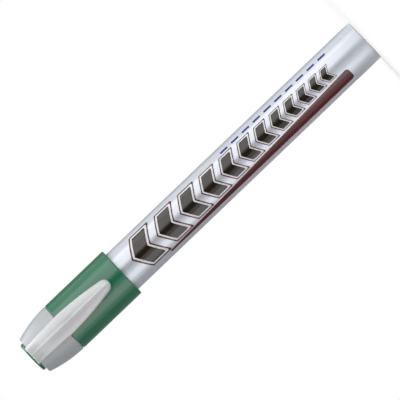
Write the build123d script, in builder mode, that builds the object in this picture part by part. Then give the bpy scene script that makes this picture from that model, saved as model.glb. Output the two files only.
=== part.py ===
from build123d import *

import os
from math import cos, pi, sin, sqrt, tau

# A valve-action paint marker, standing on the flat rear end of its barrel with its cap on top.
# Z is the marker's axis, zero is the rear face, and the pocket clip faces -Y.
# Lengths are in millimetres.

# Fits that several pieces share
press_gap = 0.03  # play round a piece that is pressed into another
slide_gap = 0.06  # play round a piece that slides in another
skirt_gap = 0.2  # play of the cap's skirt round the barrel
overrun = 1.0  # how far a cutting shape runs past the face that it opens

# Barrel, an extruded aluminium tube with a closed rear end
barrel_radius = 7.3
barrel_length = 112.0
barrel_wall = 0.45
barrel_floor = 0.9
rear_edge_round = 0.4
seat_step = 0.2  # how far the tube is drawn in where the cap's skirt goes over it
seat_margin = 0.25  # length of that seat that the cap leaves bare
bead_depth = 0.45  # rolled bead that locks the valve body in the tube
bead_setback = 5.0  # from the tube's front edge to the bead

# Mixing ball, loose in the barrel
ball_radius = 3.2
ball_float = 0.05  # play under the ball

# Valve body, plugged into the barrel's mouth
valve_flange = 1.2
plug_length = 11.0
gasket_section = 1.3  # diameter of the sealing ring's section
gasket_inset = 2.6  # from the plug's rear end to the ring
gasket_side_play = 0.15
spigot_length = 4.0  # rear spigot that the cage is pushed onto
spigot_wall = 1.0
seat_thickness = 1.6
seat_hole_radius = 1.8

# Valve rod, with its sealing washer
head_radius = 3.1
head_thickness = 1.2
head_play = 0.5  # paint's way round the head
seal_thickness = 1.0
stem_radius = 1.3
stem_rib = 0.9  # thickness of the stem's crossed ribs
tail_length = 3.5

# Valve spring
spring_length = 10.4  # as fitted, with the valve shut
spring_radius = 2.35  # to the middle of the wire
wire_radius = 0.25
spring_play = 0.5  # between the coil and what it is centred on
spring_turns = 6
arcs_per_turn = 8

# Valve cage, which holds the spring and lets the paint in
cage_wall = 0.7
cage_floor = 1.0
post_height = 1.8  # post that centres the spring
window_count = 4
window_width = 2.4
window_margin = 1.2  # solid band above and below each window

# Nose cone, which carries the nib
nose_flange = 1.2
grip_step = 1.1  # from the barrel's outside in to the ring that holds the cap
grip_length = 3.2
grip_bead_height = 0.12  # ring that the cap's ribs hold on to
grip_bead_length = 1.6
neck_step = 1.3  # from that part in to the neck that the inner cap seals on
neck_length = 4.6
cone_length = 6.8
cone_tip_wall = 0.85
nose_spigot_length = 4.0
nose_spigot_wall = 1.1
nose_edge_round = 0.3
feed_groove_count = 4
feed_groove_width = 0.7
feed_groove_depth = 0.4

# Nib, a bullet of bonded fibre
nib_radius = 2.1
nib_length = 22.0
nib_reach = 4.2  # how far it stands out of the nose cone
nib_dome = 2.9  # length of the rounded tip
nib_tip_flat_radius = 0.9
nib_tip_round = 0.6

# Inner cap, a sealing cup inside the cap
inner_wall = 0.8
inner_flange = 1.0
inner_mouth_gap = 0.15  # between its mouth and the nose cone's shoulder
inner_end_radius = 3.6  # inside, at the closed end
inner_plug_length = 2.0  # straight part at the closed end, held by the cap
tip_space = 4.8  # clear room in front of the nib

# Cap shell
skirt_wall = 1.3
skirt_cover = 8.6  # length of barrel that the cap covers
skirt_play = 0.5  # between the flange's front and the shell's inner step
shell_wall = 1.6
shell_end_web = 1.05
mouth_edge_round = 0.25
rib_count = 8
rib_width = 0.8
rib_height = 10.0
button_radius = 5.3  # round end of the shell that shows past the crown
button_lip = 0.45  # how far the button reaches over the crown's end
button_thickness = 1.25
button_edge_round = 0.8

# Crown, the sleeve on the cap's end
crown_length = 12.9
crown_wall = 0.9
crown_end_wall = 0.9
crown_end_ledge = 1.45  # ring of the crown's end that shows round the button
crown_end_round = 0.5
crown_front_chamfer = 0.25

# Pocket clip: an arm, and a raised rib that carries it along the crown
arm_length = 19.45
arm_gap = 0.75  # between the arm and the cap
arm_thickness = 1.35
arm_root_half_width = 3.9
arm_middle_half_width = 3.3
arm_tip_half_width = 2.0
arm_tip_round_share = 0.9  # of the tip's half width
roof_drop = 0.35  # how far the arm's edges lie below its middle line
grip_bump_gap = 0.2  # between the bump under the arm and the cap
grip_bump_half_width = 1.1
grip_bump_setback = 3.2  # from the arm's tip
rib_end_half_width = 3.4
rib_end_lift = 0.55  # height of the raised rib above the crown's end
rib_overhang = 0.6  # how far the raised rib runs past the crown's end
rib_section_shares = (0, 0.35, 0.7, 1)  # places along the raised rib where its section is drawn

# Places along the axis, from the rear face upwards
barrel_front = barrel_length
bead_height = barrel_front - bead_setback
plug_rear = barrel_front - plug_length
gasket_height = plug_rear + gasket_inset
spigot_rear = plug_rear - spigot_length
seat_front = plug_rear + seat_thickness
flange_front = barrel_front + valve_flange
nose_rear = flange_front - nose_spigot_length
nose_flange_front = flange_front + nose_flange
grip_front = nose_flange_front + grip_length
neck_front = grip_front + neck_length
nose_tip = neck_front + cone_length
nib_tip = nose_tip + nib_reach
nib_rear = nib_tip - nib_length
head_front = plug_rear - seal_thickness
head_rear = head_front - head_thickness
cage_inside = head_rear - spring_length
cage_rear = cage_inside - cage_floor
inner_mouth = grip_front + inner_mouth_gap
inner_inside_end = nib_tip + tip_space
inner_end = inner_inside_end + inner_wall
crown_inside_end = inner_end + shell_end_web
crown_end = crown_inside_end + crown_end_wall
crown_front = crown_end - crown_length
cap_end = crown_end + button_thickness
cap_mouth = barrel_front - skirt_cover
seat_rear = cap_mouth - seat_margin
skirt_top = nose_flange_front + skirt_play
rib_end = crown_end + rib_overhang
arm_tip = crown_front - arm_length

# Radii that follow from the fits
seat_radius = barrel_radius - seat_step
barrel_bore = seat_radius - barrel_wall
plug_radius = barrel_bore - press_gap
bead_inside_radius = bead_depth + barrel_wall
gasket_radius = barrel_bore - press_gap - gasket_section / 2
gasket_groove_radius = gasket_radius - gasket_section / 2 - press_gap
pocket_radius = head_radius + head_play
spigot_radius = pocket_radius + spigot_wall
guide_radius = spring_radius - wire_radius - spring_play
cage_bore = spigot_radius + press_gap
cage_radius = cage_bore + cage_wall
nib_bore = nib_radius + slide_gap
nose_spigot_radius = nib_bore + nose_spigot_wall
chamber_radius = nose_spigot_radius + press_gap
cone_tip_radius = nib_bore + cone_tip_wall
grip_radius = barrel_radius - grip_step
neck_radius = grip_radius - neck_step
skirt_bore = barrel_radius + skirt_gap
cap_radius = skirt_bore + skirt_wall
shell_bore = cap_radius - shell_wall
inner_bore = neck_radius + slide_gap
inner_radius = inner_bore + inner_wall
inner_flange_radius = grip_radius + grip_bead_height
inner_plug_radius = inner_end_radius + inner_wall
rib_tip_radius = inner_flange_radius + slide_gap
button_neck_radius = button_radius - button_lip
crown_end_radius = button_radius + crown_end_ledge
arm_inside = cap_radius + arm_gap
arm_ridge = arm_inside + arm_thickness
arm_edge = arm_ridge - roof_drop
arm_tip_round = arm_tip_round_share * arm_tip_half_width
grip_bump_radius = arm_gap - grip_bump_gap

# The crown's outline is an arc that leaves the cap's side without a kink
crown_narrowing = cap_radius - crown_end_radius
crown_arc_radius = (crown_length**2 + crown_narrowing**2) / (2 * crown_narrowing)


def crown_outline(height, depth):
    """Radius of the surface that lies depth under the crown's outside, at that height."""
    arc_radius = crown_arc_radius - depth
    return cap_radius - crown_arc_radius + sqrt(arc_radius**2 - (height - crown_front) ** 2)


def crown_arc(low, high, depth):
    """The stretch of that surface's outline between two heights."""
    heights = (low, (low + high) / 2, high)
    return ThreePointArc(*((crown_outline(height, depth), height) for height in heights))


# Barrel
with BuildPart() as barrel:
    bead_half_height = sqrt(bead_inside_radius**2 - barrel_wall**2)
    with BuildSketch(Plane.XZ):
        with BuildLine():
            Polyline(
                (seat_radius, bead_height - bead_depth),
                (seat_radius, seat_rear),
                (barrel_radius, seat_rear - seat_step),
                (barrel_radius, 0),
                (0, 0),
                (0, barrel_floor),
                (barrel_bore, barrel_floor),
                (barrel_bore, bead_height - bead_half_height),
            )
            ThreePointArc(
                (barrel_bore, bead_height - bead_half_height),
                (seat_radius - bead_inside_radius, bead_height),
                (barrel_bore, bead_height + bead_half_height),
            )
            Polyline(
                (barrel_bore, bead_height + bead_half_height),
                (barrel_bore, barrel_front),
                (seat_radius, barrel_front),
                (seat_radius, bead_height + bead_depth),
            )
            ThreePointArc(
                (seat_radius, bead_height + bead_depth),
                (seat_radius - bead_depth, bead_height),
                (seat_radius, bead_height - bead_depth),
            )
        make_face()
    revolve(axis=Axis.Z)
    fillet(barrel.faces().sort_by(Axis.Z)[0].edges(), rear_edge_round)

# Mixing ball
with BuildPart() as mixing_ball:
    with Locations((0, 0, barrel_floor + ball_float + ball_radius)):
        Sphere(ball_radius)

# Valve body
with BuildPart() as valve_body:
    with BuildSketch(Plane.XZ):
        with BuildLine():
            Polyline(
                (seat_hole_radius, seat_front),
                (seat_hole_radius, plug_rear),
                (pocket_radius, plug_rear),
                (pocket_radius, spigot_rear),
                (spigot_radius, spigot_rear),
                (spigot_radius, plug_rear),
                (plug_radius, plug_rear),
                (plug_radius, barrel_front),
                (seat_radius, barrel_front),
                (seat_radius, flange_front),
                (chamber_radius, flange_front),
                (chamber_radius, seat_front),
                close=True,
            )
        make_face()
    revolve(axis=Axis.Z)
    with BuildSketch(Plane.XZ):
        with Locations((seat_radius, bead_height)):
            Circle(bead_inside_radius + press_gap)
        groove_depth = plug_radius - gasket_groove_radius
        with Locations((gasket_groove_radius, gasket_height)):
            Rectangle(
                groove_depth + overrun,
                gasket_section + 2 * gasket_side_play,
                align=(Align.MIN, Align.CENTER),
            )
    revolve(axis=Axis.Z, mode=Mode.SUBTRACT)

# Sealing ring between the valve body and the barrel
with BuildPart() as barrel_gasket:
    with Locations((0, 0, gasket_height)):
        Torus(gasket_radius, gasket_section / 2)

# Valve rod: a head with a tail below it, and a crossed-rib stem that pushes the nib
with BuildPart() as valve_rod:
    with BuildSketch(Plane.XY.offset(head_rear)):
        Circle(head_radius)
    extrude(amount=head_thickness)
    with BuildSketch(Plane.XY.offset(head_rear - tail_length)):
        Circle(guide_radius)
    extrude(amount=tail_length)
    with BuildSketch(Plane.XY.offset(head_front)):
        Circle(stem_radius)
    extrude(amount=seal_thickness)
    with BuildSketch(Plane.XY.offset(head_front)):
        with PolarLocations(0, 2, angular_range=180):
            Rectangle(2 * stem_radius, stem_rib)
        Circle(stem_radius, mode=Mode.INTERSECT)
    extrude(amount=nib_rear - head_front)

# Sealing washer on the rod's head, pressed against the valve seat
with BuildPart() as valve_seal:
    with BuildSketch(Plane.XY.offset(head_front)):
        Circle(head_radius)
        Circle(stem_radius + press_gap, mode=Mode.SUBTRACT)
    extrude(amount=seal_thickness)

# Valve cage: a cup on the valve body's spigot, with windows for the paint
with BuildPart() as valve_cage:
    with BuildSketch(Plane.XY.offset(cage_rear)):
        Circle(cage_radius)
    extrude(amount=plug_rear - cage_rear)
    with BuildSketch(Plane.XY.offset(cage_inside)):
        Circle(cage_bore)
        Circle(guide_radius, mode=Mode.SUBTRACT)
    extrude(amount=plug_rear - cage_inside, mode=Mode.SUBTRACT)
    with BuildSketch(Plane.XY.offset(cage_inside + post_height)):
        Circle(cage_bore)
    extrude(amount=plug_rear - cage_inside - post_height, mode=Mode.SUBTRACT)
    window_height = spigot_rear - cage_inside - 2 * window_margin
    with BuildSketch(Plane.XY.offset(cage_inside + window_margin)):
        with PolarLocations(cage_bore, window_count):
            Rectangle(2 * cage_wall, window_width)
    extrude(amount=window_height, mode=Mode.SUBTRACT)

# Valve spring: one wire whose turns are a chain of tangent arcs
coil_base = cage_inside + wire_radius + press_gap
coil_rise = spring_length - 2 * (wire_radius + press_gap)
coil_pitch = coil_rise / spring_turns


def coil_point(turn):
    """Middle of the wire after that many turns."""
    angle = tau * turn
    return Vector(spring_radius * cos(angle), spring_radius * sin(angle), coil_base + coil_pitch * turn)


with BuildPart() as valve_spring:
    with BuildLine() as coil:
        heading = Vector(0, tau * spring_radius, coil_pitch)
        for step in range(spring_turns * arcs_per_turn):
            turn_arc = TangentArc(
                coil_point(step / arcs_per_turn),
                coil_point((step + 1) / arcs_per_turn),
                tangent=heading,
            )
            heading = turn_arc % 1
    coil_path = coil.wire()
    with BuildSketch(Plane(origin=coil_path @ 0, z_dir=coil_path % 0)):
        Circle(wire_radius)
    sweep(path=coil_path)

wire_length = valve_spring.part.volume / (pi * wire_radius**2)
coil_gap = min(
    (coil_point(step / arcs_per_turn) - coil_point(step / arcs_per_turn + 1)).length
    for step in range((spring_turns - 1) * arcs_per_turn)
)
print(f"spring: path {coil_path.length:.1f} mm long, wire {wire_length:.1f} mm by its volume")
print(f"spring: least gap between turns {coil_gap - 2 * wire_radius:.2f} mm")

# Nose cone
with BuildPart() as nose_cone:
    grip_middle = (nose_flange_front + grip_front) / 2
    grip_bead_rear = grip_middle - grip_bead_length / 2
    grip_bead_front = grip_middle + grip_bead_length / 2
    with BuildSketch(Plane.XZ):
        with BuildLine():
            Polyline(
                (grip_radius, grip_bead_rear),
                (grip_radius, nose_flange_front),
                (seat_radius, nose_flange_front),
                (seat_radius, flange_front),
                (nose_spigot_radius, flange_front),
                (nose_spigot_radius, nose_rear),
                (nib_bore, nose_rear),
                (nib_bore, nose_tip),
                (cone_tip_radius, nose_tip),
                (neck_radius, neck_front),
                (neck_radius, grip_front),
                (grip_radius, grip_front),
                (grip_radius, grip_bead_front),
            )
            ThreePointArc(
                (grip_radius, grip_bead_front),
                (grip_radius + grip_bead_height, grip_middle),
                (grip_radius, grip_bead_rear),
            )
        make_face()
    revolve(axis=Axis.Z)
    flange_edges = nose_cone.edges().filter_by(GeomType.CIRCLE).group_by(SortBy.RADIUS)[-1]
    fillet(flange_edges.sort_by(Axis.Z)[-1], nose_edge_round)
    with BuildSketch(Plane.XY.offset(nose_rear)):
        with PolarLocations(nib_bore, feed_groove_count):
            Rectangle(2 * feed_groove_depth, feed_groove_width)
    extrude(amount=nose_tip - nose_rear, mode=Mode.SUBTRACT)

# Nib
with BuildPart() as nib:
    dome_base = nib_tip - nib_dome
    with BuildSketch(Plane.XZ):
        with BuildLine():
            Polyline(
                (nib_tip_flat_radius, nib_tip),
                (0, nib_tip),
                (0, nib_rear),
                (nib_radius, nib_rear),
                (nib_radius, dome_base),
            )
            TangentArc((nib_radius, dome_base), (nib_tip_flat_radius, nib_tip), tangent=(0, 1))
        make_face()
    revolve(axis=Axis.Z)
    fillet(nib.faces().sort_by(Axis.Z)[-1].edges(), nib_tip_round)

# Inner cap
with BuildPart() as inner_cap:
    plug_start = inner_end - inner_plug_length
    with BuildSketch(Plane.XZ):
        with BuildLine():
            Polyline(
                (inner_bore, inner_mouth),
                (inner_flange_radius, inner_mouth),
                (inner_flange_radius, inner_mouth + inner_flange),
                (inner_radius, inner_mouth + inner_flange),
                (inner_radius, neck_front),
                (inner_plug_radius, plug_start),
                (inner_plug_radius, inner_end),
                (0, inner_end),
                (0, inner_inside_end),
                (inner_end_radius, inner_inside_end),
                (inner_end_radius, plug_start),
                (inner_bore, neck_front),
                close=True,
            )
        make_face()
    revolve(axis=Axis.Z)

# Cap shell, with ribs inside and a round button at its end
with BuildPart() as cap_shell:
    neck_depth = crown_wall + press_gap
    socket_radius = inner_plug_radius + press_gap
    with BuildSketch(Plane.XZ):
        with BuildLine():
            Polyline(
                (crown_outline(crown_front, neck_depth), crown_front),
                (cap_radius, crown_front),
                (cap_radius, cap_mouth),
                (skirt_bore, cap_mouth),
                (skirt_bore, skirt_top),
                (shell_bore, skirt_top),
                (shell_bore, skirt_top + rib_height),
                (socket_radius, plug_start),
                (socket_radius, inner_end),
                (0, inner_end),
                (0, cap_end),
                (button_radius, cap_end),
                (button_radius, crown_end),
                (button_neck_radius, crown_end),
                (button_neck_radius, crown_inside_end),
                (crown_outline(crown_inside_end, neck_depth), crown_inside_end),
            )
            crown_arc(crown_front, crown_inside_end, neck_depth)
        make_face()
    revolve(axis=Axis.Z)
    fillet(cap_shell.faces().sort_by(Axis.Z)[-1].edges(), button_edge_round)
    mouth_edges = cap_shell.faces().sort_by(Axis.Z)[0].edges()
    fillet(mouth_edges.sort_by(SortBy.RADIUS)[-1], mouth_edge_round)
    with BuildSketch(Plane.XY.offset(skirt_top)):
        rib_reach = shell_bore + shell_wall / 2 - rib_tip_radius
        with PolarLocations(rib_tip_radius + rib_reach / 2, rib_count):
            Rectangle(rib_reach, rib_width)
    extrude(amount=rib_height)

# Raised rib that carries the clip along the crown, before the crown's bore is cut
with BuildPart() as clip_rib:
    rib_length = rib_end - crown_front
    end_ridge = crown_end_radius + rib_end_lift
    ridge_fall = arm_ridge - end_ridge
    ridge_arc_radius = (rib_length**2 + ridge_fall**2) / (2 * ridge_fall)
    for share in rib_section_shares:
        along = share * rib_length
        ridge = arm_ridge - ridge_arc_radius + sqrt(ridge_arc_radius**2 - along**2)
        half_width = arm_root_half_width + share * (rib_end_half_width - arm_root_half_width)
        with BuildSketch(Plane.XY.offset(crown_front + along)):
            with BuildLine():
                Polyline(
                    (-half_width, roof_drop - ridge),
                    (0, -ridge),
                    (half_width, roof_drop - ridge),
                    (half_width, -button_radius - slide_gap),
                    (-half_width, -button_radius - slide_gap),
                    close=True,
                )
            make_face()
    loft()

# Crown
with BuildPart() as cap_crown:
    with BuildSketch(Plane.XZ):
        with BuildLine():
            crown_arc(crown_front, crown_end, 0)
            Polyline(
                (crown_outline(crown_end, 0), crown_end),
                (0, crown_end),
                (0, crown_front),
                (cap_radius, crown_front),
            )
        make_face()
    revolve(axis=Axis.Z)
    fillet(cap_crown.faces().sort_by(Axis.Z)[-1].edges(), crown_end_round)
    chamfer(cap_crown.faces().sort_by(Axis.Z)[0].edges(), crown_front_chamfer)
    add(clip_rib.part)
    with BuildSketch(Plane.XZ):
        with BuildLine():
            crown_arc(crown_front, crown_inside_end, crown_wall)
            Polyline(
                (crown_outline(crown_inside_end, crown_wall), crown_inside_end),
                (button_neck_radius + press_gap, crown_inside_end),
                (button_neck_radius + press_gap, crown_end + overrun),
                (0, crown_end + overrun),
                (0, crown_front),
                (crown_outline(crown_front, crown_wall), crown_front),
            )
        make_face()
    revolve(axis=Axis.Z, mode=Mode.SUBTRACT)

# Clip arm
with BuildPart() as clip_arm:
    with BuildSketch(Plane.XZ) as arm_outline:
        with BuildLine():
            arm_middle = (crown_front + arm_tip) / 2
            Line((-arm_root_half_width, crown_front), (arm_root_half_width, crown_front))
            ThreePointArc(
                (arm_root_half_width, crown_front),
                (arm_middle_half_width, arm_middle),
                (arm_tip_half_width, arm_tip),
            )
            Line((arm_tip_half_width, arm_tip), (-arm_tip_half_width, arm_tip))
            ThreePointArc(
                (-arm_tip_half_width, arm_tip),
                (-arm_middle_half_width, arm_middle),
                (-arm_root_half_width, crown_front),
            )
        make_face()
        fillet(arm_outline.vertices().group_by(Axis.Y)[0], arm_tip_round)
    extrude(amount=arm_ridge)
    with BuildSketch(Plane.XY.offset(arm_tip)):
        with BuildLine():
            Polyline(
                (-arm_root_half_width, -arm_edge),
                (0, -arm_ridge),
                (arm_root_half_width, -arm_edge),
                (arm_root_half_width, 0),
                (-arm_root_half_width, 0),
                close=True,
            )
        make_face()
        Circle(arm_inside, mode=Mode.SUBTRACT)
    extrude(amount=arm_length, mode=Mode.INTERSECT)
    with BuildSketch(Plane.YZ):
        with Locations((-arm_inside, arm_tip + grip_bump_setback)):
            Circle(grip_bump_radius)
    extrude(amount=grip_bump_half_width, both=True)

pieces = {
    "barrel": barrel,
    "mixing_ball": mixing_ball,
    "valve_body": valve_body,
    "barrel_gasket": barrel_gasket,
    "valve_rod": valve_rod,
    "valve_seal": valve_seal,
    "valve_cage": valve_cage,
    "valve_spring": valve_spring,
    "nose_cone": nose_cone,
    "nib": nib,
    "inner_cap": inner_cap,
    "cap_shell": cap_shell,
    "cap_crown": cap_crown,
    "clip_arm": clip_arm,
}

os.makedirs("parts", exist_ok=True)
for name, piece in pieces.items():
    piece.part.label = name
    export_step(piece.part, f"parts/{name}.step")
print(f"overall length {cap_end:.2f}, cap mouth at {cap_mouth:.2f}, crown front at {crown_front:.2f}")
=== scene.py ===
import cmath
import math

import bmesh
import bpy
from mathutils import Matrix, Vector


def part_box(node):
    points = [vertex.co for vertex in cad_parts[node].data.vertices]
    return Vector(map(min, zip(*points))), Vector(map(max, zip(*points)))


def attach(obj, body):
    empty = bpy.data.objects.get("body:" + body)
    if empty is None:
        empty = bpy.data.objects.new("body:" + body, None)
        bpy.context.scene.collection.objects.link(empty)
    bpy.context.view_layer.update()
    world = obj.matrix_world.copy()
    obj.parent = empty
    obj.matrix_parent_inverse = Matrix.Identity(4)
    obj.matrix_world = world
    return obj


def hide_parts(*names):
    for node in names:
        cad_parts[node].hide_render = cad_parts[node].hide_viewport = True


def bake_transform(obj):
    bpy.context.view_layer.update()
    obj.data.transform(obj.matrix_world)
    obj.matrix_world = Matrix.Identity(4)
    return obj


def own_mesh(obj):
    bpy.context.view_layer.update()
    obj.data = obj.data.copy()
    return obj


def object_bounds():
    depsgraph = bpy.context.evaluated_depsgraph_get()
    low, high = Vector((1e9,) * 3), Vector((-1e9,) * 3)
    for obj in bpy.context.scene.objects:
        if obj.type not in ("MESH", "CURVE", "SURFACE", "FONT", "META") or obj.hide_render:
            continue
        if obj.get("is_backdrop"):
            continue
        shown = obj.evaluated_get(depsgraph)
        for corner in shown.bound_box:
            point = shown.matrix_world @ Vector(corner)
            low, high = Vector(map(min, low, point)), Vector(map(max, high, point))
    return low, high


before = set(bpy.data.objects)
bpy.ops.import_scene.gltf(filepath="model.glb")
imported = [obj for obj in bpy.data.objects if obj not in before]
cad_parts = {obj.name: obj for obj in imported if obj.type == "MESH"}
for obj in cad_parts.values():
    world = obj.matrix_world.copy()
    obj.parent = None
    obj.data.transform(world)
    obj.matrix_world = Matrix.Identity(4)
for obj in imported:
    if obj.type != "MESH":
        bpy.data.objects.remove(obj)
cad_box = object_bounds()

# A paint marker that stands on its rear end, with its pocket clip towards -Y.
# Lengths are in millimetres here, and the meshes are made in metres.
MM = 0.001
TURNS = 192  # steps round a turned piece
ARC_STEPS = 6  # steps along a rounded corner
CROWN_STEPS = 20  # steps along the crown's outline
BEAD_STEPS = 12  # steps across the barrel's rolled bead
TIP_STEPS = 14  # steps along the clip's round tip
RUN_STEPS = 24  # steps along the clip's arm, and as many along the rib on the crown
BUMP_STEPS = 8  # steps along each round end of the clip's bump
BUMP_TURNS = 32  # steps round that bump
COIL_STEPS = 40  # steps in each turn of the spring
WIRE_SIDES = 12  # sides of the spring's wire
FLOOR_TURNS = 96  # steps round the floor's rim
AXIS_SNAP = 1e-6  # a point nearer to the axis than this lies on it
CUT_SNAP = 1e-5  # a point nearer to a cut between the print's facets than this lies on it


def node_box(node):
    """Lowest and highest corner of a CAD node, in millimetres."""
    low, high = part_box(node)
    return low / MM, high / MM


_, barrel_high = node_box("barrel")
shell_low, shell_high = node_box("cap_shell")
crown_low, crown_high = node_box("cap_crown")
arm_low, arm_high = node_box("clip_arm")
_, inner_high = node_box("inner_cap")
spring_low, spring_high = node_box("valve_spring")

# Barrel
barrel_radius = barrel_high.x
barrel_front = barrel_high.z
barrel_wall = 0.45
barrel_floor = 0.9
rear_edge_round = 0.4
front_edge_round = 0.12
seat_step = 0.2  # how far the tube is drawn in under the cap's skirt
seat_cover = 1.0  # how far inside the cap's mouth the tube is drawn in
bead_depth = 0.45  # of the rolled bead, a half circle
bead_setback = 5.0  # from the tube's front edge to the bead

# Cap shell
cap_radius = shell_high.x
cap_mouth = shell_low.z
cap_end = shell_high.z
skirt_gap = 0.2  # between the skirt and the barrel
skirt_length = 11.5
shell_wall = 1.6
inner_end_radius = 4.4  # of the inner cap's closed end
socket_gap = 0.03  # play round that end
socket_radius = inner_end_radius + socket_gap
socket_length = 2.0
mouth_outer_round = 0.4
mouth_inner_round = 0.15
shoulder_round = 0.08
inner_rib_count = 8
inner_rib_width = 0.8
inner_rib_height = 10.0
inner_rib_tip_radius = 6.38
button_radius = 5.3
button_lip = 0.45  # how far the button overhangs its neck
button_thickness = 1.25
button_edge_round = 0.8
button_seat_round = 0.08

# Crown
crown_front = crown_low.z
crown_end = cap_end - button_thickness
crown_wall = 0.9
crown_gap = 0.03  # between the crown and the shell inside it
crown_end_radius = 6.75
crown_end_round = 0.5
crown_front_chamfer = 0.45
crown_hole_round = 0.1
crown_inside_end = crown_end - crown_wall

# Clip strip: the raised rib along the crown and the arm, which are one moulding
rib_end = crown_high.z
arm_tip = arm_low.z
arm_crest = -arm_low.y  # the arm's outermost line, from the axis
arm_root_half_width = arm_high.x
arm_middle_half_width = 3.3
arm_tip_half_width = 1.85
arm_tip_round = 1.6
arm_gap = 0.75  # between the arm and the cap
arm_nose_length = 1.3  # stretch at the tip where the arm's top falls away
arm_nose_fall = 0.55
strip_top_drop = 0.9  # how far the strip's edges lie below its middle
strip_top_power = 2.8  # the more, the nearer to the edges the strip's top falls away
ridge_height = 0.11  # of the fine ridge along the strip's middle
ridge_half_width = 0.28
ridge_part_shares = (0.15, 0.85, 1)  # places across each side of the ridge where the strip's top is drawn
side_shares = (0.25, 0.4, 0.55, 0.7, 0.85)  # such places from the ridge to the strip's edge
foot_shares = (-0.6, -0.3, 0, 0.3, 0.6)  # such places across the strip's underside
strip_draft = 0.2  # how far the strip's sides lean in at the top
strip_top_round = 0.25
strip_bottom_round = 0.12
top_round_share = 0.5  # how much of the side's height each rounding may take
bottom_round_share = 0.25
rib_end_half_width = 3.4
rib_end_lift = 0.55  # how far the rib stands out at the crown's end
rib_end_round = 0.4
rib_sink = 0.5  # depth of the rib's foot under the crown's surface
bump_gap = 0.2  # between the bump under the arm and the cap
bump_setback = 3.2  # from the arm's tip to the bump
bump_half_width = 1.1

# Valve spring
wire_radius = 0.25
spring_turns = 7
closed_turns = 1  # at each end, where the turns lie on each other
closed_pitch = 0.52  # rise of each closed turn

# Print on the barrel: a row of chevrons that shrinks towards the rear, a wedge and a row of dashes
ink_sink = 0.03  # depth of the ink's foot in the barrel's surface
ink_facet = 0.5  # width of the flat facets that follow the barrel
ink_layer = 0.008  # how far each layer of ink stands above the one below it
chevron_count = 12
chevron_start = 97.5  # height of the first chevron's tip
chevron_pitch = 10.6  # from that tip to the next
chevron_size_share = 0.92  # size of each chevron as a share of the one before
chevron_reach = 5.4  # from the middle line to the end of each side
chevron_point = 3.2  # how far the tip stands ahead of the sides' ends
chevron_thickness = 5.4
chevron_round = 0.45
keyline_margin = 1.1  # how far the edges of the keyline, the border and the fill lie outside the chevron's
border_margin = 0.6
fill_margin = -0.4
wedge_low = 10.0
wedge_high = 88.0
wedge_side = -7.6  # across, where the wedge's straight side lies
wedge_space = 0.75  # between the wedge and the row of chevrons
wedge_round = 1.2
wedge_tip_round = 0.25
dash_across = 5.7  # where the row of dashes lies
dash_low = 12.0
dash_pitch = 4.6
dash_count = 10
dash_length = 3.0
dash_width = 0.85
dash_round_share = 0.5  # of the dash's half width

# Grain of the materials, whose colour and roughness follow noise over the piece
noise_low = 0.3  # the middle of the noise's range, over which they change
noise_high = 0.7
cloud_size = 6  # how many times coarser the clouds of colour are than the fine grain
cloud_detail = 2.0
grain_detail = 5.0
relief_depth = 0.02  # of the fine grain
light_depth = 0.6  # how far light wanders in the inner cap's plastic

# Camera: level with the marker's middle, and rolled so that the cap points to the lower left
photo_width = 400  # pixels
photo_scale = 0.308  # millimetres of the marker for each pixel
axis_angle = math.radians(223.71)  # from the picture's right to the marker's +Z
camera_swing = math.radians(3.6)  # from straight in front of the clip, towards -X
camera_distance = 4000
middle_across = -0.57  # what lies in the picture's middle, across and along the marker
middle_height = 70.78
sensor_width = 36
view_limit = 100_000  # how far the camera sees

# Studio: a pale floor in a white surround, among soft boxes and cards
studio_middle = Vector((0, 0, 70))  # what the boxes and cards face
floor_gap = 0.02  # between the floor and the marker's rear face

# Outlines. A point is a complex number: radius or across, and height.


def rounded_outline(corners, closed=False):
    """The outline through corners (x, y, rounding), with an arc at each corner that has a rounding."""
    points = []
    count = len(corners)
    for index, (x, y, rounding) in enumerate(corners):
        corner = complex(x, y)
        if not rounding or (not closed and index in (0, count - 1)):
            points.append(corner)
            continue
        before = complex(*corners[index - 1][:2]) - corner
        after = complex(*corners[(index + 1) % count][:2]) - corner
        before /= abs(before)
        after /= abs(after)
        half_angle = abs(cmath.phase(after / before)) / 2
        start = corner + before * rounding / math.tan(half_angle)
        centre = corner + (before + after) / abs(before + after) * rounding / math.sin(half_angle)
        end = corner + after * rounding / math.tan(half_angle)
        sweep = cmath.phase((end - centre) / (start - centre))
        for step in range(ARC_STEPS + 1):
            points.append(centre + (start - centre) * cmath.exp(1j * sweep * step / ARC_STEPS))
    return points


def crown_outline(height, depth):
    """Radius of the surface that lies depth under the crown's outside, at that height."""
    length = crown_end - crown_front
    narrowing = cap_radius - crown_end_radius
    arc_radius = (length**2 + narrowing**2) / (2 * narrowing)
    return cap_radius - arc_radius + math.sqrt((arc_radius - depth) ** 2 - (height - crown_front) ** 2)


def crown_arc(low, high, depth):
    """Corners along that surface, between two heights."""
    heights = [low + (high - low) * step / CROWN_STEPS for step in range(CROWN_STEPS + 1)]
    return [(crown_outline(height, depth), height, 0) for height in heights]


# Mesh makers


def mesh_object(name, vertices, faces, sharp_angle=40):
    """A new object with smooth faces, and sharp edges where they turn by more than the angle in degrees."""
    mesh = bpy.data.meshes.new(name)
    mesh.from_pydata([Vector(vertex) * MM for vertex in vertices], [], faces)
    made = bmesh.new()
    made.from_mesh(mesh)
    bmesh.ops.recalc_face_normals(made, faces=made.faces)
    made.to_mesh(mesh)
    made.free()
    mesh.shade_smooth()
    mesh.set_sharp_from_angle(angle=math.radians(sharp_angle))
    piece = bpy.data.objects.new(name, mesh)
    bpy.context.scene.collection.objects.link(piece)
    weighted = piece.modifiers.new("face_weighted_normals", "WEIGHTED_NORMAL")
    weighted.keep_sharp = True
    return piece


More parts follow.
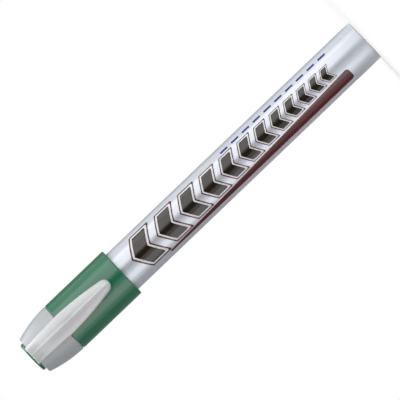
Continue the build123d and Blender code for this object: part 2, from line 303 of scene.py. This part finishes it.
def turned(outline, closed=False, turns=TURNS):
    """Vertices and faces of an outline turned round Z. Points on the axis become poles."""
    vertices = []
    rings = []
    for point in outline:
        if abs(point.real) < AXIS_SNAP:
            rings.append([len(vertices)] * turns)
            vertices.append((0, 0, point.imag))
            continue
        rings.append(range(len(vertices), len(vertices) + turns))
        for turn in range(turns):
            angle = math.tau * turn / turns
            vertices.append((point.real * math.cos(angle), point.real * math.sin(angle), point.imag))
    faces = []
    pairs = list(zip(rings, rings[1:]))
    if closed:
        pairs.append((rings[-1], rings[0]))
    for low, high in pairs:
        for turn in range(turns):
            following = (turn + 1) % turns
            corners = (low[turn], low[following], high[following], high[turn])
            faces.append(tuple(dict.fromkeys(corners)))
    return vertices, faces


def joined(*solids):
    """Vertices and faces of several solids as one."""
    vertices = []
    faces = []
    for solid_vertices, solid_faces in solids:
        start = len(vertices)
        vertices += solid_vertices
        faces += [tuple(start + corner for corner in face) for face in solid_faces]
    return vertices, faces


def lofted(sections):
    """Vertices and faces of a solid with flat ends, through closed sections of as many points each."""
    vertices = [point for section in sections for point in section]
    count = len(sections[0])
    last = len(vertices) - count
    faces = [tuple(range(count)), tuple(range(last, last + count))]
    for start in range(0, last, count):
        for corner in range(count):
            low = start + corner
            following = start + (corner + 1) % count
            faces.append((low, following, following + count, low + count))
    return vertices, faces


def ribs_round(count, inner, outer, width, low, high):
    """Vertices and faces of upright ribs, evenly spaced round Z."""
    half = width / 2
    corners = [complex(inner, -half), complex(outer, -half), complex(outer, half), complex(inner, half)]
    ribs = []
    for number in range(count):
        turn = cmath.exp(1j * math.tau * number / count)
        places = [corner * turn for corner in corners]
        ends = [[(place.real, place.imag, height) for place in places] for height in (low, high)]
        ribs.append(lofted(ends))
    return joined(*ribs)


# Barrel and cap


def make_barrel():
    """The tube with its closed rear end, drawn in under the cap's skirt and beaded behind its mouth."""
    seat_radius = barrel_radius - seat_step
    seat_rear = cap_mouth + seat_cover
    bead_height = barrel_front - bead_setback
    bore = seat_radius - barrel_wall
    bead = [
        (seat_radius - bead_depth * math.sin(angle), bead_height - bead_depth * math.cos(angle), 0)
        for angle in (math.pi * step / BEAD_STEPS for step in range(BEAD_STEPS + 1))
    ]
    outline = rounded_outline(
        [
            (0, 0, 0),
            (barrel_radius, 0, rear_edge_round),
            (barrel_radius, seat_rear - seat_step, 0),
            (seat_radius, seat_rear, 0),
            *bead,
            (seat_radius, barrel_front, front_edge_round),
            (bore, barrel_front, 0),
            (bore, barrel_floor, 0),
            (0, barrel_floor, 0),
        ]
    )
    return mesh_object("barrel_tube", *turned(outline))


def make_cap_shell():
    """The green shell with its skirt, the ribs inside it, and the button at its end."""
    skirt_bore = barrel_radius + skirt_gap
    skirt_top = cap_mouth + skirt_length
    bore = cap_radius - shell_wall
    taper_start = skirt_top + inner_rib_height
    inner_end = inner_high.z
    neck_radius = button_radius - button_lip
    outline = rounded_outline(
        [
            (0, inner_end, 0),
            (socket_radius, inner_end, 0),
            (socket_radius, inner_end - socket_length, 0),
            (bore, taper_start, 0),
            (bore, skirt_top, 0),
            (skirt_bore, skirt_top, 0),
            (skirt_bore, cap_mouth, mouth_inner_round),
            (cap_radius, cap_mouth, mouth_outer_round),
            (cap_radius, crown_front, shoulder_round),
            *crown_arc(crown_front, crown_inside_end, crown_wall + crown_gap),
            (neck_radius, crown_inside_end, 0),
            (neck_radius, crown_end, 0),
            (button_radius, crown_end, button_seat_round),
            (button_radius, cap_end, button_edge_round),
            (0, cap_end, 0),
        ]
    )
    wall_middle = cap_radius - shell_wall / 2
    ribs = ribs_round(
        inner_rib_count,
        inner=inner_rib_tip_radius,
        outer=wall_middle,
        width=inner_rib_width,
        low=skirt_top,
        high=taper_start,
    )
    return mesh_object("cap_shell_green", *joined(turned(outline), ribs))


def make_crown():
    """The curved sleeve round the shell's end, with a hole for the button's neck."""
    hole = button_radius - button_lip + crown_gap
    outline = rounded_outline(
        [
            (crown_outline(crown_front, crown_wall), crown_front, 0),
            (cap_radius - crown_front_chamfer, crown_front, 0),
            *crown_arc(crown_front + crown_front_chamfer, crown_end - 2 * crown_end_round, 0),
            (crown_outline(crown_end, 0), crown_end, crown_end_round),
            (hole, crown_end, crown_hole_round),
            (hole, crown_inside_end, 0),
            *reversed(crown_arc(crown_front, crown_inside_end, crown_wall)[1:]),
        ],
        closed=True,
    )
    return mesh_object("crown_sleeve", *turned(outline, closed=True), sharp_angle=30)


# Clip


def strip_half_width(height):
    """Half the width of the clip strip at that height."""
    if height >= crown_front:
        share = (height - crown_front) / (rib_end - crown_front)
        return arm_root_half_width + share * (rib_end_half_width - arm_root_half_width)
    # A parabola through the half widths at the arm's root, middle and tip
    share = (crown_front - height) / (crown_front - arm_tip)
    middle_loss = arm_root_half_width - arm_middle_half_width
    tip_loss = arm_root_half_width - arm_tip_half_width
    bulge = 2 * tip_loss - 4 * middle_loss
    half_width = arm_root_half_width - share * (tip_loss - bulge) - share**2 * bulge
    into_tip = arm_tip + arm_tip_round - height
    if into_tip > 0:
        half_width -= arm_tip_round - math.sqrt(max(arm_tip_round**2 - into_tip**2, 0))
    return half_width


def strip_crest(height):
    """Distance of the strip's outermost line from the axis at that height."""
    if height >= crown_front:
        length = rib_end - crown_front
        fall = arm_crest - crown_end_radius - rib_end_lift
        arc_radius = (length**2 + fall**2) / (2 * fall)
        return arm_crest - arc_radius + math.sqrt(arc_radius**2 - (height - crown_front) ** 2)
    into_nose = (arm_tip + arm_nose_length - height) / arm_nose_length
    if into_nose <= 0:
        return arm_crest
    return arm_crest - arm_nose_fall * (1 - math.sqrt(max(1 - into_nose**2, 0)))


def strip_foot(height, across, on_rib):
    """Distance of the strip's underside from the axis."""
    radius = crown_outline(min(height, crown_end), 0) - rib_sink if on_rib else cap_radius + arm_gap
    return math.sqrt(radius**2 - across**2)


def strip_section(height, inset, on_rib):
    """The strip's section at that height, drawn in by inset, as points across and outwards."""
    half_width = strip_half_width(height) - inset
    crest = strip_crest(height) - inset
    fullness = min(half_width / arm_tip_half_width, 1)
    top_half_width = half_width - strip_draft * fullness

    def roof(share):
        beside_ridge = min(abs(share) * top_half_width / ridge_half_width, 1)
        fall = ridge_height * beside_ridge + strip_top_drop * abs(share) ** strip_top_power
        return crest - fullness * fall

    def foot(share):
        return strip_foot(height, share * half_width, on_rib)

    side_height = roof(1) - foot(1)
    top_round = min(strip_top_round * fullness, side_height * top_round_share)
    bottom_round = min(strip_bottom_round * fullness, side_height * bottom_round_share)
    ridge_shares = [share * ridge_half_width / arm_root_half_width for share in ridge_part_shares]
    right_shares = [*ridge_shares, *side_shares]
    roof_shares = [*reversed(right_shares), 0, *(-share for share in right_shares)]
    return rounded_outline(
        [
            *((share * half_width, foot(share), 0) for share in foot_shares),
            (half_width, foot(1), bottom_round),
            (top_half_width, roof(1), top_round),
            *((share * top_half_width, roof(share), 0) for share in roof_shares),
            (-top_half_width, roof(-1), top_round),
            (-half_width, foot(-1), bottom_round),
        ],
        closed=True,
    )


def strip_stations():
    """Heights along the strip from its tip to its end, each with an inset and whether it is on the rib."""
    for step in range(1, TIP_STEPS):
        turn = math.pi / 2 * step / TIP_STEPS
        yield arm_tip + arm_tip_round * (1 - math.cos(turn)), 0, False
    arm_start = arm_tip + arm_tip_round
    rib_stop = rib_end - rib_end_round
    for step in range(RUN_STEPS + 1):
        yield arm_start + (crown_front - arm_start) * step / RUN_STEPS, 0, False
    for step in range(RUN_STEPS + 1):
        yield crown_front + (rib_stop - crown_front) * step / RUN_STEPS, 0, True
    for step in range(1, ARC_STEPS + 1):
        turn = math.pi / 2 * step / ARC_STEPS
        yield rib_stop + rib_end_round * math.sin(turn), rib_end_round * (1 - math.cos(turn)), True


def make_clip_strip():
    """The arm and the rib on the crown as one strip."""
    sections = [
        [(point.real, -point.imag, height) for point in strip_section(height, inset, on_rib)]
        for height, inset, on_rib in strip_stations()
    ]
    return mesh_object("clip_strip", *lofted(sections), sharp_angle=45)


def make_clip_bump():
    """The bump under the arm that grips a pocket's edge: a round bar with round ends, half in the arm."""
    radius = arm_gap - bump_gap
    shoulder = bump_half_width - radius
    turns = [math.pi / 2 * step / BUMP_STEPS for step in range(1, BUMP_STEPS + 1)]
    end = [complex(0, bump_half_width)]
    end += [complex(radius * math.sin(turn), shoulder + radius * math.cos(turn)) for turn in turns]
    outline = end + [point.conjugate() for point in reversed(end)]
    vertices, faces = turned(outline, turns=BUMP_TURNS)
    height = arm_tip + bump_setback
    depth = cap_radius + arm_gap
    return mesh_object("clip_bump", [(z, x - depth, y + height) for x, y, z in vertices], faces)


# Valve spring


def wire_height(turn):
    """Height of the wire's middle after that many turns."""
    half_turns = spring_turns / 2
    open_half_turns = half_turns - closed_turns
    half_rise = (spring_high.z - spring_low.z) / 2 - wire_radius
    open_pitch = (half_rise - closed_turns * closed_pitch) / open_half_turns
    from_middle = turn - half_turns
    open_part = max(-open_half_turns, min(from_middle, open_half_turns))
    middle = (spring_low.z + spring_high.z) / 2
    return middle + open_part * open_pitch + (from_middle - open_part) * closed_pitch


def make_valve_spring():
    """A coil of round wire with closed end turns."""
    coil_radius = spring_high.x - wire_radius
    sections = []
    for step in range(spring_turns * COIL_STEPS + 1):
        turn = step / COIL_STEPS
        along = cmath.exp(1j * math.tau * turn)
        section = []
        for side in range(WIRE_SIDES):
            around = wire_radius * cmath.exp(1j * math.tau * side / WIRE_SIDES)
            point = (coil_radius + around.real) * along
            section.append((point.real, point.imag, wire_height(turn) + around.imag))
        sections.append(section)
    return mesh_object("valve_spring_coil", *lofted(sections))


# Print


def chevron(tip, scale, margin):
    """Outline of a chevron that points to the cap, with a margin on all sides."""
    reach = chevron_reach * scale
    point = chevron_point * scale
    side = reach + margin
    along = margin / math.cos(math.atan2(point, reach))
    front = tip + along
    rear = tip - chevron_thickness * scale - along
    fall = point * side / reach
    rounding = chevron_round * scale
    rear_edge = [(-side, rear - fall), (0, rear), (side, rear - fall)]
    front_edge = [(side, front - fall), (0, front), (-side, front - fall)]
    return rounded_outline([(*corner, rounding) for corner in rear_edge + front_edge], closed=True)


def chevrons(margin):
    """Outlines of the row of chevrons, each with a margin in proportion to its size."""
    tip = chevron_start
    scale = 1.0
    for _ in range(chevron_count):
        yield chevron(tip, scale, margin * scale)
        tip -= chevron_pitch * scale
        scale *= chevron_size_share


def row_half_width(height):
    """Half the width of the row of chevrons at that height, with their keylines."""
    scale = 1 - (chevron_start - height) * (1 - chevron_size_share) / chevron_pitch
    return (chevron_reach + keyline_margin) * scale


def wedge():
    """Outline of the wedge beside the row, which widens as the chevrons shrink."""
    corners = [
        (wedge_side, wedge_low, wedge_round),
        (-row_half_width(wedge_low) - wedge_space, wedge_low, wedge_round),
        (-row_half_width(wedge_high) - wedge_space, wedge_high, wedge_tip_round),
        (wedge_side, wedge_high, wedge_tip_round),
    ]
    yield rounded_outline(corners, closed=True)


def dashes():
    """Outlines of the dashes on the row's other side."""
    half = dash_width / 2
    for number in range(dash_count):
        low = dash_low + number * dash_pitch
        high = low + dash_length
        corners = [(-half, low), (half, low), (half, high), (-half, high)]
        rounding = half * dash_round_share
        yield rounded_outline([(dash_across + x, y, rounding) for x, y in corners], closed=True)


def make_print(name, outlines, layer):
    """Thin closed sheets of ink on the barrel, from outlines of across and height."""
    made = bmesh.new()
    for outline in outlines:
        made.faces.new([made.verts.new((point.real, point.imag, 0)) for point in outline])
    bmesh.ops.triangulate(made, faces=made.faces[:])
    reach = max(abs(vertex.co.x) for vertex in made.verts)
    cuts = math.ceil(reach / ink_facet)
    for number in range(-cuts, cuts + 1):
        cut = made.verts[:] + made.edges[:] + made.faces[:]
        place = (number * ink_facet, 0, 0)
        bmesh.ops.bisect_plane(made, geom=cut, plane_co=place, plane_no=(1, 0, 0), dist=CUT_SNAP)
    sheet = made.edges[:] + made.faces[:]
    top = bmesh.ops.extrude_face_region(made, geom=sheet, use_keep_orig=True)
    for element in top["geom"]:
        if isinstance(element, bmesh.types.BMVert):
            element.co.z = ink_sink + layer * ink_layer
    for vertex in made.verts:
        across, height, level = vertex.co
        angle = across / barrel_radius
        radius = barrel_radius - ink_sink + level
        vertex.co = (radius * math.sin(angle), -radius * math.cos(angle), height)
    made.verts.index_update()
    vertices = [vertex.co[:] for vertex in made.verts]
    faces = [[vertex.index for vertex in face.verts] for face in made.faces]
    made.free()
    return mesh_object(name, vertices, faces)


# Materials


def new_material(name):
    """A new material with its node tree and its main shader."""
    material = bpy.data.materials.new(name)
    material.use_nodes = True
    return material, material.node_tree, material.node_tree.nodes["Principled BSDF"]


def add_noise(tree, scale, detail, stretch):
    """Noise over the object, longer along an axis with a smaller stretch."""
    place = tree.nodes.new("ShaderNodeTexCoord")
    mapping = tree.nodes.new("ShaderNodeMapping")
    mapping.inputs["Scale"].default_value = stretch
    noise = tree.nodes.new("ShaderNodeTexNoise")
    noise.inputs["Scale"].default_value = scale
    noise.inputs["Detail"].default_value = detail
    tree.links.new(place.outputs["Object"], mapping.inputs["Vector"])
    tree.links.new(mapping.outputs["Vector"], noise.inputs["Vector"])
    return noise.outputs["Fac"]


def add_ramp(tree, factor, low, high):
    """Colours from low to high over the middle of the factor's range."""
    node = tree.nodes.new("ShaderNodeValToRGB")
    first, last = node.color_ramp.elements
    first.position = noise_low
    first.color = (*low, 1)
    last.position = noise_high
    last.color = (*high, 1)
    tree.links.new(factor, node.inputs["Fac"])
    return node.outputs["Color"]


def surface(name, colour, spread, roughness, grain, bump=0.05, stretch=(1, 1, 1), **values):
    """A material whose colour and roughness vary over its grain. The values go to the shader's inputs."""
    material, tree, shader = new_material(name)
    clouds = add_noise(tree, grain / cloud_size, cloud_detail, stretch)
    fine = add_noise(tree, grain, grain_detail, stretch)
    darker = [channel * (1 - spread) for channel in colour]
    lighter = [channel * (1 + spread) for channel in colour]
    tree.links.new(add_ramp(tree, clouds, darker, lighter), shader.inputs["Base Color"])
    smooth, rough = ([value] * 3 for value in roughness)
    tree.links.new(add_ramp(tree, fine, smooth, rough), shader.inputs["Roughness"])
    relief = tree.nodes.new("ShaderNodeBump")
    relief.inputs["Strength"].default_value = bump
    relief.inputs["Distance"].default_value = relief_depth * MM
    tree.links.new(fine, relief.inputs["Height"])
    tree.links.new(relief.outputs["Normal"], shader.inputs["Normal"])
    for socket, value in values.items():
        shader.inputs[socket.replace("_", " ")].default_value = value
    return material


def barrel_lacquer():
    """Aluminium under a silver lacquer, with fine lengthwise drawing marks."""
    return surface(
        "barrel_lacquer",
        colour=(0.62, 0.65, 0.713),
        spread=0.012,
        roughness=(0.24, 0.27),
        grain=3000,
        bump=0.005,
        stretch=(1, 1, 0.04),
        Metallic=0.27,
    )


def cap_green():
    """Glossy moulded green."""
    return surface(
        "cap_green",
        colour=(0.014, 0.16, 0.078),
        spread=0.06,
        roughness=(0.21, 0.26),
        grain=1500,
        bump=0.015,
        Specular_IOR_Level=0.63,
    )


def crown_grey():
    """Silver-grey plastic with a fine spark-eroded texture."""
    return surface(
        "crown_grey",
        colour=(0.465, 0.492, 0.515),
        spread=0.025,
        roughness=(0.28, 0.33),
        grain=5000,
        bump=0.1,
    )


def clip_grey_painted_lit():
    """The crown's plastic, smoother on the clip and paler there: the paler colour is painted light for the
    clip's lit face.
    """
    return surface(
        "clip_grey_painted_lit",
        colour=(0.64, 0.65, 0.66),
        spread=0.03,
        roughness=(0.2, 0.26),
        grain=5000,
        bump=0.08,
        Specular_IOR_Level=0.9,
    )


def inner_white():
    """Natural, slightly see-through plastic."""
    return surface(
        "inner_white",
        colour=(0.77, 0.77, 0.74),
        spread=0.04,
        roughness=(0.38, 0.5),
        grain=2500,
        Subsurface_Weight=0.15,
        Subsurface_Scale=light_depth * MM,
    )


def nose_white():
    """Satin white plastic."""
    return surface(
        "nose_white",
        colour=(0.68, 0.685, 0.69),
        spread=0.04,
        roughness=(0.3, 0.4),
        grain=3000,
    )


def valve_plastic():
    """Plain matt plastic."""
    return surface(
        "valve_plastic",
        colour=(0.64, 0.65, 0.66),
        spread=0.06,
        roughness=(0.4, 0.5),
        grain=2500,
    )


def seal_rubber():
    """Black rubber."""
    return surface(
        "seal_rubber",
        colour=(0.021, 0.021, 0.022),
        spread=0.2,
        roughness=(0.6, 0.75),
        grain=4000,
        bump=0.2,
    )


def spring_steel():
    """Drawn wire."""
    return surface(
        "spring_steel",
        colour=(0.55, 0.55, 0.56),
        spread=0.1,
        roughness=(0.22, 0.34),
        grain=6000,
        Metallic=1.0,
    )


def ball_steel():
    """Polished steel."""
    return surface(
        "ball_steel",
        colour=(0.63, 0.63, 0.64),
        spread=0.05,
        roughness=(0.08, 0.16),
        grain=1200,
        Metallic=1.0,
    )


def nib_fibre():
    """Bonded fibre soaked with green paint, streaked along its length."""
    return surface(
        "nib_fibre",
        colour=(0.016, 0.135, 0.065),
        spread=0.3,
        roughness=(0.6, 0.85),
        grain=9000,
        bump=0.6,
        stretch=(1, 1, 0.08),
    )


def ink(name, colour):
    """Glossy printing ink."""
    return surface(name, colour, spread=0.08, roughness=(0.12, 0.17), grain=2500, bump=0.03)


# The crown and the clip share one plastic. The clip's paler copy is painted light, and the crown's darker
# copy is painted shade on its sides.
crown_finish = crown_grey()
clip_painted_lit_finish = clip_grey_painted_lit()
valve_finish = valve_plastic()
rubber = seal_rubber()
ink_white = ink("ink_white", (0.82, 0.82, 0.83))
ink_maroon = ink("ink_maroon", (0.11, 0.009, 0.012))
ink_black = ink("ink_black", (0.006, 0.005, 0.005))
ink_brown = ink("ink_brown", (0.022, 0.015, 0.01))
ink_blue = ink("ink_blue", (0.012, 0.012, 0.24))

# Pieces on their bodies


def dress(piece, material, body, slot, *nodes):
    """Gives a piece its material, its body and the nodes that it stands for."""
    piece.data.materials.append(material)
    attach(piece, body)
    if nodes:
        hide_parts(*nodes)


dress(make_barrel(), barrel_lacquer(), "barrel", "barrel_metal", "barrel")
dress(make_cap_shell(), cap_green(), "cap", "cap_green", "cap_shell")
dress(make_crown(), crown_finish, "cap", "crown_grey", "cap_crown")
dress(make_clip_bump(), clip_painted_lit_finish, "clip", "crown_grey")

strip = make_clip_strip()
strip.data.materials.append(clip_painted_lit_finish)
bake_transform(strip)
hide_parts("clip_arm")

spring = make_valve_spring()
dress(spring, spring_steel(), "barrel", "spring_steel", "valve_spring")
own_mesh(spring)

chevron_layers = [
    ("print_keyline", keyline_margin, ink_maroon),
    ("print_border", border_margin, ink_white),
    ("print_edge", 0, ink_black),
    ("print_fill", fill_margin, ink_brown),
]
for layer, (name, margin, material) in enumerate(chevron_layers, start=1):
    dress(make_print(name, chevrons(margin), layer), material, "barrel", "barrel_metal")
dress(make_print("print_wedge", wedge(), 1), ink_maroon, "barrel", "barrel_metal")
dress(make_print("print_dashes", dashes(), 1), ink_blue, "barrel", "barrel_metal")

node_materials = {
    "inner_cap": inner_white(),
    "nose_cone": nose_white(),
    "nib": nib_fibre(),
    "valve_body": valve_finish,
    "valve_rod": valve_finish,
    "valve_cage": valve_finish,
    "mixing_ball": ball_steel(),
    "barrel_gasket": rubber,
    "valve_seal": rubber,
}
for node, material in node_materials.items():
    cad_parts[node].data.materials.clear()
    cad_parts[node].data.materials.append(material)

# Camera

camera_data = bpy.data.cameras.new("camera")
camera_data.sensor_width = sensor_width
camera_data.lens = sensor_width * camera_distance / (photo_width * photo_scale)
camera_data.clip_end = view_limit * MM
camera = bpy.data.objects.new("camera", camera_data)
bpy.context.scene.collection.objects.link(camera)
forward = Vector((math.sin(camera_swing), math.cos(camera_swing), 0))
upright = Vector((0, 0, 1))
level = forward.cross(upright)
right = math.sin(axis_angle) * level + math.cos(axis_angle) * upright
up = math.sin(axis_angle) * upright - math.cos(axis_angle) * level
spot = middle_across * level + middle_height * upright - camera_distance * forward
camera.matrix_world = Matrix.Translation(spot * MM) @ Matrix((right, up, -forward)).transposed().to_4x4()
bpy.context.scene.camera = camera

# Studio: soft boxes, and dark cards that the marker mirrors


def on_ring(azimuth, distance, height):
    """A place round the marker. Azimuth 0 is the camera's side, and 90 is towards +X."""
    turn = math.radians(azimuth) - camera_swing
    return Vector((distance * math.sin(turn), -distance * math.cos(turn), height))


def soft_box(name, azimuth, distance, height, size, radiance):
    """An area lamp that faces the marker."""
    lamp = bpy.data.lights.new(name, "AREA")
    lamp.shape = "RECTANGLE"
    lamp.size, lamp.size_y = (side * MM for side in size)
    lamp.energy = radiance * math.pi * lamp.size * lamp.size_y
    box = bpy.data.objects.new(name, lamp)
    bpy.context.scene.collection.objects.link(box)
    place = on_ring(azimuth, distance, height)
    box.location = place * MM
    box.rotation_euler = (place - studio_middle).to_track_quat("Z", "Y").to_euler()
    box.visible_camera = False


def card(name, centre, side, rise, shade):
    """A matt card, unseen by the camera, from its centre and the ways from there to its side and top."""
    corners = [centre - side - rise, centre + side - rise, centre + side + rise, centre - side + rise]
    sheet = mesh_object(name, corners, [(0, 1, 2, 3)])
    material, _, shader = new_material(name)
    shader.inputs["Base Color"].default_value = (shade, shade, shade, 1)
    shader.inputs["Specular IOR Level"].default_value = 0
    sheet.data.materials.append(material)
    sheet.visible_camera = False
    sheet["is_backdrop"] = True


def upright_card(name, azimuth, distance, width, height, shade):
    """A card that stands beside the marker and faces it."""
    centre = on_ring(azimuth, distance, studio_middle.z)
    side = centre.cross((0, 0, 1)).normalized() * width / 2
    card(name, centre, side, Vector((0, 0, height / 2)), shade)


def ceiling_card(name, height, width, shade):
    """A square card that lies above the marker."""
    half = width / 2
    card(name, Vector((0, 0, height)), Vector((half, 0, 0)), Vector((0, half, 0)), shade)


soft_box("key_box", azimuth=69, distance=800, height=300, size=(400, 900), radiance=1.8)
soft_box("near_box", azimuth=37, distance=800, height=300, size=(550, 900), radiance=1.5)
soft_box("fill_box", azimuth=-48, distance=800, height=300, size=(520, 900), radiance=1.4)
soft_box("high_box", azimuth=105, distance=800, height=700, size=(800, 800), radiance=2.8)
soft_box("back_box", azimuth=180, distance=800, height=800, size=(1000, 1000), radiance=1.4)
upright_card("camera_card", azimuth=0, distance=1300, width=600, height=1600, shade=0.02)
upright_card("right_card", azimuth=150, distance=900, width=760, height=1400, shade=0.3)
upright_card("left_card", azimuth=-125, distance=900, width=1500, height=1400, shade=0.45)
ceiling_card("ceiling_card", height=1300, width=2200, shade=0.05)

# Surround and floor


def add_math(tree, operation, first, second):
    """What an operation makes of two outputs, or of an output and a number."""
    node = tree.nodes.new("ShaderNodeMath")
    node.operation = operation
    tree.links.new(first, node.inputs[0])
    if isinstance(second, bpy.types.NodeSocket):
        tree.links.new(second, node.inputs[1])
    else:
        node.inputs[1].default_value = second
    return node.outputs["Value"]


def seen_ray(tree):
    """1 on rays from the camera and on mirrored and transmitted ones, 0 on the rays that light things."""
    path = tree.nodes.new("ShaderNodeLightPath")
    seen = path.outputs["Is Camera Ray"]
    for kind in ("Is Glossy Ray", "Is Transmission Ray"):
        seen = add_math(tree, "MAXIMUM", seen, path.outputs[kind])
    return seen


def rim_fade(tree, start, end):
    """0 up to the start, and from there rising to 1 at the end, by the distance from the floor's middle."""
    place = tree.nodes.new("ShaderNodeTexCoord")
    reach = tree.nodes.new("ShaderNodeVectorMath")
    reach.operation = "LENGTH"
    tree.links.new(place.outputs["Object"], reach.inputs[0])
    fade = tree.nodes.new("ShaderNodeMapRange")
    fade.interpolation_type = "SMOOTHSTEP"
    fade.inputs["From Min"].default_value = start * MM
    fade.inputs["From Max"].default_value = end * MM
    tree.links.new(reach.outputs["Value"], fade.inputs["Value"])
    return fade.outputs["Result"]


def make_surround(ambient):
    """A white world that lights the marker at the ambient level."""
    world = bpy.data.worlds.new("surround")
    world.use_nodes = True
    tree = world.node_tree
    background = tree.nodes["Background"]
    background.inputs["Color"].default_value = (1, 1, 1, 1)
    strength = tree.nodes.new("ShaderNodeMapRange")
    strength.inputs["To Min"].default_value = ambient
    tree.links.new(seen_ray(tree), strength.inputs["Value"])
    tree.links.new(strength.outputs["Result"], background.inputs["Strength"])
    bpy.context.scene.world = world


def make_floor(radius, fade_start, grey, glow):
    """A pale disc that keeps the marker's shadow, and fades into the white surround at its rim."""
    disc = [complex(0, -floor_gap), complex(radius, -floor_gap)]
    floor = mesh_object("floor", *turned(disc, turns=FLOOR_TURNS))
    material, tree, shader = new_material("floor")
    seen = seen_ray(tree)
    shader.inputs["Base Color"].default_value = (grey, grey, grey, 1)
    shader.inputs["Roughness"].default_value = 0.9
    shader.inputs["Specular IOR Level"].default_value = 0
    shader.inputs["Emission Color"].default_value = (1, 1, 1, 1)
    tree.links.new(add_math(tree, "MULTIPLY", seen, glow), shader.inputs["Emission Strength"])
    white = tree.nodes.new("ShaderNodeEmission")
    mix = tree.nodes.new("ShaderNodeMixShader")
    faded = add_math(tree, "MULTIPLY", rim_fade(tree, fade_start, radius), seen)
    tree.links.new(faded, mix.inputs["Fac"])
    tree.links.new(shader.outputs["BSDF"], mix.inputs[1])
    tree.links.new(white.outputs["Emission"], mix.inputs[2])
    tree.links.new(mix.outputs["Shader"], tree.nodes["Material Output"].inputs["Surface"])
    floor.data.materials.append(material)
    floor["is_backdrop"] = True


make_surround(ambient=0.34)
make_floor(radius=90, fade_start=20, grey=0.7, glow=0.34)
bpy.context.scene.view_settings.view_transform = "Standard"

boxes = {"cad": cad_box, "visual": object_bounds()}
{name: [list(corner) for corner in box] for name, box in boxes.items()}
